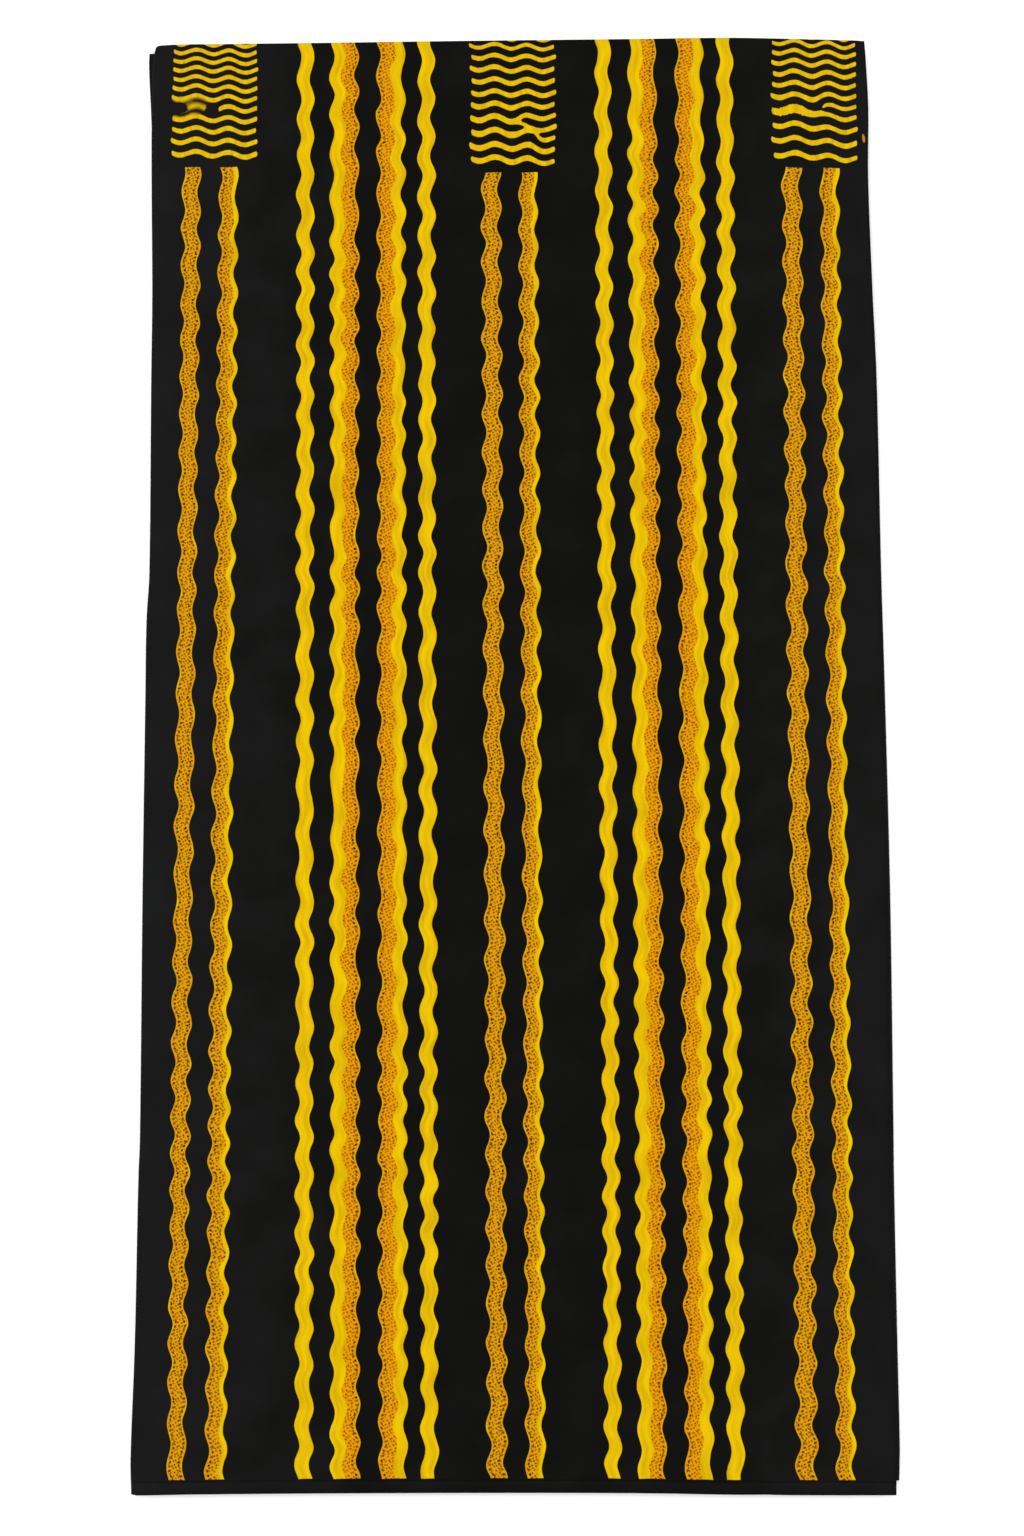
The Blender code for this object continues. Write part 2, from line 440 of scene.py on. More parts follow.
def crease_height(x, y):
    """How far the creases lift the top of the pile here, in metres."""
    height = 0.0
    for centre_x, centre_y, direction, length, width, peak in CREASES:
        angle = math.radians(direction)
        from_x, from_y = x * MM - centre_x, y * MM - centre_y
        along = from_x * math.cos(angle) + from_y * math.sin(angle)
        across = from_y * math.cos(angle) - from_x * math.sin(angle)
        if abs(along) < length and abs(across) < CREASE_FADE * width:
            ends = math.exp(-((2 * along / length) ** 4))
            height += peak / MM * ends * math.exp(-((across / width) ** 2))
    return height


def laid(place, yard_share, is_upper_selvedge, half_width, half_height, pile):
    """Where a point of the evenly folded cloth lies in the real, slightly uneven pile."""
    x, y, z = place
    selvedge = SELVEDGE_ONE if is_upper_selvedge else SELVEDGE_TWO
    top = half_height + from_table(LONG_EDGES, yard_share, TOP_FOLD) / MM
    bottom = -half_height - from_table(LONG_EDGES, yard_share, selvedge) / MM
    y = bottom + (top - bottom) * (y + half_height) / (2 * half_height)

    left_edge = LEFT_FOLD if yard_share < SECOND_TURN else LEFT_CUT_BELOW
    right_edge = RIGHT_CUT_ON_TOP if yard_share < FIRST_TURN else RIGHT_FOLD
    right_pull_width = CUT_PULL_WIDTH if yard_share < FIRST_TURN else FOLD_PULL_WIDTH
    left_pull = math.exp(-(((x + half_width) / FOLD_PULL_WIDTH) ** 2))
    right_pull = math.exp(-(((x - half_width) / right_pull_width) ** 2))
    drift = from_table(PRINT_DRIFT, x * MM, AT_MIDDLE)
    drift -= from_table(PRINT_DRIFT, x * MM, MORE_AT_FOOT) * y / HALF_DRIFT_HEIGHT
    x += drift / MM * (1 - left_pull - right_pull)
    x -= left_pull * from_table(SIDE_EDGES, y * MM, left_edge) / MM
    x += right_pull * from_table(SIDE_EDGES, y * MM, right_edge) / MM

    left = -half_width - from_table(SIDE_EDGES, y * MM, LEFT_FOLD) / MM
    right = half_width + from_table(SIDE_EDGES, y * MM, RIGHT_FOLD) / MM
    rise = 1 + TURN_PUFF * math.exp(-((min(abs(x - left), abs(x - right)) / TURN_PUFF_WIDTH) ** 2))
    for spacing, direction, share in SLOW_ROLLS:
        angle = math.radians(direction)
        along = x * math.cos(angle) + y * math.sin(angle)
        rise += share * (1 + math.cos(2 * math.pi * along / spacing))
    rise += crease_height(x, y) / pile
    return x, y, z * rise


class FoldCloth(bpy.types.Operator):
    """Fold the yard of printed cotton back and forth and lay it down"""

    bl_idname = "cloth.fold_wax_print"
    bl_label = "Fold Wax Print Cloth"

    def execute(self, context):
        s = sizes()
        doubled = s.ply_pitch + s.thickness
        panel_pitch = (s.pile_height - doubled) / (s.panels - 1)
        turn, ply_turn = panel_pitch / 2, s.ply_pitch / 2
        panel_run = s.panel_width - doubled
        ply_run = s.folded_height - s.thickness
        end_run = doubled / 2 + panel_run - turn
        round_turn = (math.pi * turn, STEPS_ROUND_TURN)
        along = steps(
            (
                (end_run, STEPS_ACROSS_TOP_PANEL),
                round_turn,
                (panel_run - 2 * turn, STEPS_ACROSS_HIDDEN_PANEL),
                round_turn,
                (end_run, STEPS_ACROSS_HIDDEN_PANEL),
            )
        )
        ply_length = s.thickness / 2 + ply_run - ply_turn
        across = steps(
            (
                (ply_length, STEPS_UP_HIDDEN_PLY),
                (math.pi * ply_turn, STEPS_ROUND_TOP_FOLD),
                (ply_length, STEPS_DOWN_TOP_PLY),
            )
        )
        yard_length, loom_width = along[-1], across[-1]
        cloth = flat_cloth(along, across, loom_width)
        context.collection.objects.link(cloth)

        cotton = wax_printed_cotton()
        mesh = evaluated_through(
            cloth,
            fold_tree(),
            {
                "Panels": s.panels,
                "Panel Run": panel_run,
                "Panel Pitch": panel_pitch,
                "Panel End Reach": doubled / 2,
                "Ply Run": ply_run,
                "Ply Pitch": s.ply_pitch,
                "Ply End Reach": s.thickness / 2,
                "Yard Length": yard_length,
                "Loom Width": loom_width,
                "Top Level": s.pile_height - doubled / 2,
                "Material": cotton,
            },
        )
        if len(mesh.vertices) != len(cloth.data.vertices):
            raise RuntimeError("the folded cloth lost points")
        half_width, half_height = s.panel_width / 2, s.folded_height / 2
        for flat, folded in zip(cloth.data.vertices, mesh.vertices):
            folded.co = laid(
                folded.co, flat.co.x / yard_length, flat.co.y > 0, half_width, half_height, s.pile_height
            )
        cloth.data = mesh
        mesh.name = "wax_print_cloth"
        mesh.shade_smooth()
        solidify = cloth.modifiers.new("Thickness", "SOLIDIFY")
        solidify.thickness = s.thickness
        solidify.offset = 0.0
        solidify.use_even_offset = True

        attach(cloth, "root")
        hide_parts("cloth")
        return {"FINISHED"}


# Stripes of the print in millimetres, across its repeat from the middle of a pair. A dotted band has its
# own edges inside the stripe, and they are equal where the stripe is plain. The waves of each stripe come
# a little later down the cloth than the mean, and those of its two edges come apart, as shares of a wave.
#    from  to  dotted_from  dotted_to  late  apart
STRIPES = (
    (-11.15, -4.5, -11.15, -4.5, 0.00, 0.3),
    (4.5, 11.15, 4.5, 9.45, 0.12, 0.3),
    (37.3, 42.7, 37.3, 37.3, 0.07, 0.3),
    (51.05, 61.35, 55.8, 61.35, 0.06, 0.8),
    (70.5, 80.75, 70.5, 76.6, 0.09, 0.8),
    (87.7, 93.05, 87.7, 87.7, 0.23, 0.3),
)
FROM, TO, DOTTED_FROM, DOTTED_TO, LATE, APART = range(6)
PAIRS = STRIPES[:2]
GROUPS = STRIPES[2:]
# Across the repeat, the pairs lie before this place and the groups after it.
PAIRS_BEFORE = 20.0
PAIR_MIDDLE = -1.5
REPEAT_START = -20.0
# Down from the top fold
PRINT_END = 594.2
# The hidden end of the yard is left unprinted for its last few millimetres.
UNPRINTED_END = 14.0
# Slow changes of the waves' spacing: length in millimetres, waves gained, phase in degrees
SPACING_CHANGES = ((600.0, 0.36, 14.0), (300.0, 0.21, 159.0))
FIRST_WAVE = -0.533
# Noises that make the print uneven: each one's grain is how many of its swells come to a millimetre. The
# wobble of a line is in millimetres, and the scatter of the waves is a share of a wave.
WOBBLE_GRAIN = 0.16
WOBBLE = 0.7
WAVE_GRAIN = 0.024
WAVE_SCATTER = 0.35
APART_GRAIN = 0.018
# The waves of a stripe's two edges come apart and together slowly down the cloth, and faster across it.
APART_ACROSS = 2.8
# How unevenly the dots spread into the plain side of a stripe, in millimetres
SPREAD_GRAIN = 0.14
SPREAD = 2.6
# Soft streaks of ink in the plain yellow, drawn out along the stripes
STREAK_GRAIN = 0.5
STREAKS_DOWN = 0.12
# Half the width over which ink fades into cloth, in millimetres
INK_BLEED = 0.15
# The same between the plain and the dotted side of a stripe
BAND_BLEED = 0.35
# Row of large dots just inside each edge of a dotted stripe
EDGE_DOT_INSET = 1.0
EDGE_DOT_SPACING = 1.8
EDGE_ROW_HALF_WIDTH = 0.85
# The clear rim outside those dots ends between these distances from the edge.
RIM_INSETS = (0.35, 0.6)
# How much darker the dots in the pairs are than those in the groups
PAIR_DOT_DARKENING = 0.6
# Drawn a little coarser than the real 1.1, so that the dots still show as dots
INNER_DOT_SPACING = 1.3
# The rows of dots lie askew to the stripes, in degrees.
DOT_SKEW = 27.0

# Blocks of stacked, wavy bars at the head of each pair, one for each of three repeats. Their bars are
# numbered down from the fold, and stand a little further apart the lower they are, but are squeezed right
# beside the fold. The sizes are in millimetres, and the squeeze is in bars.
#    repeat  first_number  bars_per_mm  fewer_per_mm  last_bar_end  pair_start  half_bar  shift
#    waves_left  squeeze
BLOCKS = (
    (-1, 0.93, 0.279, -0.00100, 49.9, 53.6, 0.79, 1.65, 0.9, 0.0),
    (0, 0.73, 0.1985, -0.00013, 53.2, 57.4, 0.93, 1.7, 0.9, -0.3),
    (1, -0.24, 0.2425, -0.00091, 52.0, 55.8, 0.86, 2.4, 1.6, -0.2),
)
FIRST_NUMBER, BARS_PER_MM, FEWER_PER_MM, LAST_BAR_END, PAIR_START = range(1, 6)
HALF_BAR, SHIFT, WAVES_LEFT, SQUEEZE = range(6, 10)
# How far down from the fold the bars are squeezed together
SQUEEZE_REACH = 2.4
# How much a bar's half height grows for each millimetre further down
BAR_GROWTH = 0.0045
# Places where a bar forks, or two join to the right of them
#    repeat  across  down  bars_gained
FORKS = (
    (0, 3.4, 35.2, 1),
    (0, 4.4, 37.8, -1),
    (0, 11.0, 41.5, 1),
    (1, 3.2, 30.0, 1),
)
# How far to each side a fork still bends the bars above and below it
FORK_REACH = 4.0
# Spots where the wax clotted or ran, which makes bars thicker or thinner and blurs them, in millimetres
#    repeat  across  down  half_width  half_height  thicker  blur
SPOTS = (
    (-1, -7.5, 26.8, 5.5, 4.2, -0.1, 1.2),
    (-1, -14.0, 25.0, 5.0, 2.2, 0.3, 0.7),
    (-1, -15.2, 27.9, 3.8, 2.2, -2.4, 0.2),
    (-1, -1.2, 28.6, 2.9, 2.4, -2.4, 0.2),
    (-1, -13.0, 31.0, 5.0, 2.0, 0.3, 0.7),
    (1, -9.0, 31.5, 9.0, 3.2, 0.6, 0.0),
)
# A spot fades out between these shares of its size, and the wax in it is stippled by the same noise that
# roughens the bars.
SPOT_FADE = (1.2, 0.6)
STIPPLE_GAIN, STIPPLE_START = 2.4, -0.2
ROUGH_GRAIN = 1.1
ROUGHNESS_OF_BARS = 0.2
BLOCK_HALF_WIDTH = 18.0
BAR_WAVELENGTH = 13.65
BAR_SWING = 0.94
BAR_TILT = 0.042
# How far the ends of the bars differ from each other, and how round they are. The two steps keep the
# numbers of the ends apart, from side to side and from block to block.
BAR_END_SCATTER = 1.2
BAR_END_ROUNDING = 0.35
SIDE_STEP = 100.0
BLOCK_STEP = 1000.0
# The fine dots down the middle of each bar: how far from it they start and stop fading, and their strength
BAR_DOT_SPACING = 1.25
BAR_DOTS_END = 0.6
BAR_DOTS_FULL = 0.2
BAR_DOT_STRENGTH = 0.4

# The dye of the ground took less in cloudy patches, and painted sheen lightens it towards the folds. The
# sheen is in millimetres across from its middle.
CLOUD_GRAIN = 0.045
SHEEN_MIDDLE = 8.0
SHEEN_START = 70.0
SHEEN_FULL = 160.0
# How strong the painted sheen is there at the most, and how much paler the ground is along the selvedge
PAINTED_FOLD_SHEEN = 0.5
SELVEDGE_FADE = 0.12
# How much the threads shade the ink, and the thick places in the yarn that come through the weave
THREAD_SHADE = 0.02
SLUB_GRAIN = 0.9

# A fine groove starts the selvedge, this far below the print.
GROOVE_BELOW = 0.7
GROOVE_HALF_WIDTH = 0.45
GROOVE_SHADE = 0.35

# A stray fleck of ochre by the cut edge: where it is in millimetres, its turn in radians, how much it is
# narrowed each way, and its strength
FLECK_PLACE = (148.9, 42.5, 0.0)
FLECK_TURN = 0.3
FLECK_NARROWING = (0.95, 0.5, 0.0)
FLECK_STRENGTH = 0.7


def print_places(tree, s):
    """The flat cloth in millimetres, and with the wobble of the print: how far along the yard from the
    middle of the top panel, down from the top fold, and across from it with a sign for each ply."""
    flat = add(tree, "ShaderNodeUVMap", uv_map=FLAT_MAP)
    scale = 2 * s.folded_height * MM
    wide = add(tree, "ShaderNodeVectorMath", (flat, (scale, scale, 0.0)), operation="MULTIPLY")
    # The blocks that print the wax are cut by hand, so no line is quite straight.
    noise = {"Vector": wide, "Scale": WOBBLE_GRAIN, "Detail": 2.0}
    wobble = add(tree, "ShaderNodeTexNoise", noise, output=1)
    wobble = add(tree, "ShaderNodeVectorMath", (wobble, (0.5, 0.5, 0.5)), operation="SUBTRACT")
    wobble = add(tree, "ShaderNodeVectorMath", (wobble, (WOBBLE, WOBBLE, 0.0)), operation="MULTIPLY")
    place = add(tree, "ShaderNodeVectorMath", (wide, wobble), operation="ADD")
    parts = add(tree, "ShaderNodeSeparateXYZ", (place,), output=None).outputs
    along = add(tree, MATH, (s.panel_width * MM / 2, parts["X"]), operation="SUBTRACT")
    width = add(tree, MATH, (parts["Y"], s.folded_height * MM), operation="SUBTRACT")
    down = add(tree, MATH, (width,), operation="ABSOLUTE")
    return wide, along, down, width


def across_repeat(tree, s, along):
    """The place across the stripes' repeat, from REPEAT_START."""
    across = add(tree, MATH, (along, -PAIR_MIDDLE - REPEAT_START), operation="ADD")
    across = add(tree, MATH, (across, s.repeat), operation="FLOORED_MODULO")
    return add(tree, MATH, (across, REPEAT_START), operation="ADD")


def by_stripe(tree, place, index):
    """A column of STRIPES, by the place across the repeat. It changes halfway between two stripes."""
    value = STRIPES[0][index]
    for before, stripe in zip(STRIPES, STRIPES[1:]):
        halfway = (before[TO] + stripe[FROM]) / 2
        past_gap = add(tree, MATH, (place, halfway), operation="GREATER_THAN")
        change = stripe[index] - before[index]
        value = add(tree, MATH, (past_gap, change, value), operation="MULTIPLY_ADD")
    return value


def wave(tree, s, wide, along, down):
    """How far the waves push each stripe sideways at this distance from the fold."""
    count = add(tree, MATH, (down, 1 / s.wavelength, FIRST_WAVE), operation="MULTIPLY_ADD")
    for length, gained, phase in SPACING_CHANGES:
        turn = add(
            tree, MATH, (down, 2 * math.pi / length, math.radians(phase)), operation="MULTIPLY_ADD"
        )
        change = add(tree, MATH, (turn,), operation="SINE")
        count = add(tree, MATH, (change, gained, count), operation="MULTIPLY_ADD")
    place = across_repeat(tree, s, along)
    count = add(tree, MATH, (count, by_stripe(tree, place, LATE)), operation="SUBTRACT")
    # Each wave differs a little in where it falls and how far it swings, and so do a stripe's two edges.
    noise = {"Vector": wide, "Scale": WAVE_GRAIN, "Detail": 1.0}
    uneven = add(tree, "ShaderNodeTexNoise", noise, output=1)
    uneven = add(tree, "ShaderNodeSeparateXYZ", (uneven,), output=None).outputs
    count = add(tree, MATH, (uneven["X"], WAVE_SCATTER, count), operation="MULTIPLY_ADD")
    count = add(tree, MATH, (count, WAVE_SCATTER / 2), operation="SUBTRACT")
    squeezed = add(tree, "ShaderNodeVectorMath", (wide, (APART_ACROSS, 1.0, 1.0)), operation="MULTIPLY")
    apart = add(tree, "ShaderNodeTexNoise", {"Vector": squeezed, "Scale": APART_GRAIN, "Detail": 0.0})
    apart = add(tree, MATH, (apart, 0.5), operation="SUBTRACT")
    count = add(tree, MATH, (apart, by_stripe(tree, place, APART), count), operation="MULTIPLY_ADD")
    reach = add(tree, MATH, (uneven["Y"], s.wave_reach, s.wave_reach / 2), operation="MULTIPLY_ADD")
    angle = add(tree, MATH, (count, 2 * math.pi), operation="MULTIPLY")
    swing = add(tree, MATH, (angle,), operation="COSINE")
    return add(tree, MATH, (swing, reach), operation="MULTIPLY")


def band_group():
    """A node group: how far inside a band a place is, in millimetres, and under 0 outside it."""
    tree = bpy.data.node_groups.new("Inside Band", "ShaderNodeTree")
    for name in ("Place", "From", "To"):
        tree.interface.new_socket(name, in_out="INPUT", socket_type="NodeSocketFloat")
    tree.interface.new_socket("Inset", in_out="OUTPUT", socket_type="NodeSocketFloat")
    given = add(tree, "NodeGroupInput", output=None).outputs
    after_start = add(tree, MATH, (given["Place"], given["From"]), operation="SUBTRACT")
    before_end = add(tree, MATH, (given["To"], given["Place"]), operation="SUBTRACT")
    inset = add(tree, MATH, (after_start, before_end), operation="MINIMUM")
    add(tree, "NodeGroupOutput", (inset,), output=None)
    return tree


def widest_inset(tree, band, place, bands):
    """How far inside the nearest of these bands a place is."""
    widest = None
    for start, end in bands:
        inset = add(tree, "ShaderNodeGroup", {"Place": place, "From": start, "To": end}, node_tree=band)
        widest = inset if widest is None else add(tree, MATH, (widest, inset), operation="MAXIMUM")
    return widest


def repeat_column(tree, s, along):
    """The place across the repeat, from -half to half, and which repeat of three it is: -1, 0 or 1."""
    from_middle = add(tree, MATH, (along, s.repeat / 2 - PAIR_MIDDLE), operation="ADD")
    within = add(tree, MATH, (from_middle, s.repeat), operation="FLOORED_MODULO")
    place = add(tree, MATH, (within, s.repeat / 2), operation="SUBTRACT")
    number = add(tree, MATH, (from_middle, s.repeat), operation="DIVIDE")
    number = add(tree, MATH, (number,), operation="FLOOR")
    number = add(tree, MATH, (number, 1.0), operation="ADD")
    number = add(tree, MATH, (number, 3.0), operation="FLOORED_MODULO")
    return place, add(tree, MATH, (number, 1.0), operation="SUBTRACT")


def by_column(tree, column, index):
    """A column of BLOCKS, by the repeat's number."""
    left, middle, right = (row[index] for row in BLOCKS)
    is_left = add(tree, MATH, (column, -1.0, 0.5), operation="COMPARE")
    is_right = add(tree, MATH, (column, 1.0, 0.5), operation="COMPARE")
    value = add(tree, MATH, (is_left, left - middle, middle), operation="MULTIPLY_ADD")
    return add(tree, MATH, (is_right, right - middle, value), operation="MULTIPLY_ADD")


def bar_rows(tree, place, down, column):
    """How far down a place is along the bars' own waves, the number of the bar there, which is whole at
    a bar's middle, and how many bars there are to a millimetre."""
    turn = add(tree, MATH, (place, by_column(tree, column, WAVES_LEFT)), operation="ADD")
    turn = add(tree, MATH, (turn, 2 * math.pi / BAR_WAVELENGTH), operation="MULTIPLY")
    swing = add(tree, MATH, (turn,), operation="COSINE")
    level = add(tree, MATH, (swing, -BAR_SWING, down), operation="MULTIPLY_ADD")
    level = add(tree, MATH, (place, -BAR_TILT, level), operation="MULTIPLY_ADD")
    fewer = add(tree, MATH, (level, by_column(tree, column, FEWER_PER_MM)), operation="MULTIPLY")
    density = add(tree, MATH, (fewer, by_column(tree, column, BARS_PER_MM)), operation="ADD")
    first_number = by_column(tree, column, FIRST_NUMBER)
    rows = add(tree, MATH, (level, density, first_number), operation="MULTIPLY_ADD")
    near_fold = add(tree, MATH, (level, -1 / SQUEEZE_REACH), operation="MULTIPLY")
    near_fold = add(tree, MATH, (near_fold,), operation="EXPONENT")
    squeeze = by_column(tree, column, SQUEEZE)
    rows = add(tree, MATH, (near_fold, squeeze, rows), operation="MULTIPLY_ADD")
    for repeat, fork_across, fork_down, gained in FORKS:
        # The count winds up by one round a fork.
        from_fork = add(tree, MATH, (place, fork_across), operation="SUBTRACT")
        from_fork = add(tree, "ShaderNodeClamp", (from_fork, -FORK_REACH, FORK_REACH))
        below_fork = add(tree, MATH, (down, fork_down), operation="SUBTRACT")
        winding = add(tree, MATH, (below_fork, from_fork), operation="ARCTAN2")
        share = add(tree, MATH, (column, repeat, 0.5), operation="COMPARE")
        share = add(tree, MATH, (share, gained / (2 * math.pi)), operation="MULTIPLY")
        rows = add(tree, MATH, (winding, share, rows), operation="MULTIPLY_ADD")
    return level, rows, add(tree, MATH, (density, fewer), operation="ADD")


def spots(tree, place, down, column):
    """How much thicker the wax made the bars here, and how much it blurred them."""
    thicker, blur = 0.0, INK_BLEED
    for repeat, spot_across, spot_down, half_width, half_height, gained, blurred in SPOTS:
        x = add(tree, MATH, (place, spot_across), operation="SUBTRACT")
        x = add(tree, MATH, (x, half_width), operation="DIVIDE")
        y = add(tree, MATH, (down, spot_down), operation="SUBTRACT")
        y = add(tree, MATH, (y, half_height), operation="DIVIDE")
        far = add(tree, "ShaderNodeCombineXYZ", (x, y, 0.0))
        far = add(tree, "ShaderNodeVectorMath", (far,), output=1, operation="LENGTH")
        near = add(tree, "ShaderNodeMapRange", (far, *SPOT_FADE), interpolation_type="SMOOTHSTEP")
        is_here = add(tree, MATH, (column, repeat, 0.5), operation="COMPARE")
        near = add(tree, MATH, (near, is_here), operation="MULTIPLY")
        thicker = add(tree, MATH, (near, gained, thicker), operation="MULTIPLY_ADD")
        blur = add(tree, MATH, (near, blurred, blur), operation="MULTIPLY_ADD")
    return thicker, blur


def bars(tree, wide, place, down, column):
    """Masks of the stacked bars and of the fine dotted line down the middle of each."""
    level, rows, density = bar_rows(tree, place, down, column)
    half_up = add(tree, MATH, (rows, 0.5), operation="ADD")
    number = add(tree, MATH, (half_up,), operation="FLOOR")
    part = add(tree, MATH, (half_up,), operation="FRACT")
    part = add(tree, MATH, (part, 0.5), operation="SUBTRACT")
    part = add(tree, MATH, (part,), operation="ABSOLUTE")
    from_middle = add(tree, MATH, (part, density), operation="DIVIDE")
    rough = add(tree, "ShaderNodeTexNoise", {"Vector": wide, "Scale": ROUGH_GRAIN, "Detail": 1.0})
    thicker, blur = spots(tree, place, down, column)
    stipple = add(tree, MATH, (rough, STIPPLE_GAIN, STIPPLE_START), operation="MULTIPLY_ADD")
    half_bar = by_column(tree, column, HALF_BAR)
    half_bar = add(tree, MATH, (thicker, stipple, half_bar), operation="MULTIPLY_ADD")
    half_bar = add(tree, MATH, (rough, ROUGHNESS_OF_BARS, half_bar), operation="MULTIPLY_ADD")
    half_bar = add(tree, MATH, (half_bar, ROUGHNESS_OF_BARS / 2), operation="SUBTRACT")
    half_bar = add(tree, MATH, (level, BAR_GROWTH, half_bar), operation="MULTIPLY_ADD")
    inset = add(tree, MATH, (half_bar, from_middle), operation="SUBTRACT")
    # The ends are rounded and uneven, and the block stops after its last bar.
    side = add(tree, MATH, (place,), operation="SIGN")
    number = add(tree, MATH, (side, SIDE_STEP, number), operation="MULTIPLY_ADD")
    number = add(tree, MATH, (column, BLOCK_STEP, number), operation="MULTIPLY_ADD")
    uneven = add(tree, "ShaderNodeTexWhiteNoise", {"W": number}, noise_dimensions="1D")
    half_width = add(tree, MATH, (uneven, BAR_END_SCATTER, BLOCK_HALF_WIDTH), operation="MULTIPLY_ADD")
    half_width = add(tree, MATH, (half_width, BAR_END_SCATTER / 2), operation="SUBTRACT")
    to_end = add(tree, MATH, (place,), operation="ABSOLUTE")
    to_end = add(tree, MATH, (half_width, to_end), operation="SUBTRACT")
    rounding = add(tree, MATH, (from_middle, from_middle), operation="MULTIPLY")
    to_end = add(tree, MATH, (rounding, -BAR_END_ROUNDING, to_end), operation="MULTIPLY_ADD")
    inset = add(tree, MATH, (inset, to_end), operation="MINIMUM")
    to_last = add(tree, MATH, (by_column(tree, column, LAST_BAR_END), level), operation="SUBTRACT")
    inset = add(tree, MATH, (inset, to_last), operation="MINIMUM")
    outside = add(tree, MATH, (blur, -1.0), operation="MULTIPLY")
    mask = add(tree, "ShaderNodeMapRange", (inset, outside, blur), interpolation_type="SMOOTHSTEP")
    row_dots, _ = dots(tree, place, down, BAR_DOT_SPACING, randomness=0.3, size=0.4, skew=0.0)
    fading = (from_middle, BAR_DOTS_END, BAR_DOTS_FULL, 0.0, BAR_DOT_STRENGTH)
    in_row = add(tree, "ShaderNodeMapRange", fading)
    return mask, add(tree, MATH, (row_dots, in_row), operation="MULTIPLY")


def dots(tree, across, down, spacing, randomness, size, skew):
    """A mask of round dots in rows at this spacing and skew, and a random value for each. The size is a
    dot's radius in millimetres."""
    cell = add(tree, "ShaderNodeCombineXYZ", (across, down, 0.0))
    turned = {"Vector": cell, "Angle": math.radians(skew)}
    cell = add(tree, "ShaderNodeVectorRotate", turned, rotation_type="Z_AXIS")
    to_cells = (1 / spacing, 1 / spacing, 1.0)
    cell = add(tree, "ShaderNodeVectorMath", (cell, to_cells), operation="MULTIPLY")
    found = add(
        tree,
        "ShaderNodeTexVoronoi",
        {"Vector": cell, "Scale": 1.0, "Randomness": randomness},
        output=None,
        voronoi_dimensions="2D",
    ).outputs
    soft = INK_BLEED / spacing
    mask = add(
        tree,
        "ShaderNodeMapRange",
        (found["Distance"], size / spacing + soft, size / spacing - soft),
        interpolation_type="SMOOTHSTEP",
    )
    return mask, found["Color"]


def ground_colour(tree, c, wide, along, down):
    """Near-black dyed cotton, a little uneven: cloudy, lighter towards its folds with painted sheen, and
    paler along its edge.
    """
    clouds = add(tree, "ShaderNodeTexNoise", {"Vector": wide, "Scale": CLOUD_GRAIN, "Detail": 4.0})
    clouds = add(tree, "ShaderNodeMapRange", (clouds, 0.3, 0.75, -0.1, 0.3))
    # Painted sheen: the fold, at the left of the top panel, is lit more than its cut edge.
    from_middle = add(tree, MATH, (along, SHEEN_MIDDLE), operation="SUBTRACT")
    from_middle = add(tree, MATH, (from_middle,), operation="ABSOLUTE")
    painted_fold_sheen = add(tree, "ShaderNodeMapRange", (from_middle, SHEEN_START, SHEEN_FULL, 0.0, PAINTED_FOLD_SHEEN))
    past_end = add(tree, MATH, (down, PRINT_END), operation="GREATER_THAN")
    # The paler dye of the clouds and the selvedge, with the painted sheen of the folds added in
    paleness_and_sheen = add(tree, MATH, (clouds, painted_fold_sheen), operation="ADD")
    paleness_and_sheen = add(tree, MATH, (past_end, SELVEDGE_FADE, paleness_and_sheen), operation="MULTIPLY_ADD")
    dyes = {SHARE: paleness_and_sheen, FIRST: rgba(c.ground), SECOND: rgba(c.ground_pale_dye_and_sheen)}
    return add(tree, MIX, dyes, **IN_COLOUR)


def weave_height(tree, s, wide):
    """A plain weave: threads over and under each other, drawn coarse enough to show."""
    turn = math.pi / s.thread_spacing
    turned = add(tree, "ShaderNodeVectorMath", (wide, (turn, turn, 0.0)), operation="MULTIPLY")
    parts = add(tree, "ShaderNodeSeparateXYZ", (turned,), output=None).outputs
    warp = add(tree, MATH, (parts["X"],), operation="SINE")
    weft = add(tree, MATH, (parts["Y"],), operation="SINE")
    return add(tree, MATH, (warp, weft), operation="MULTIPLY")


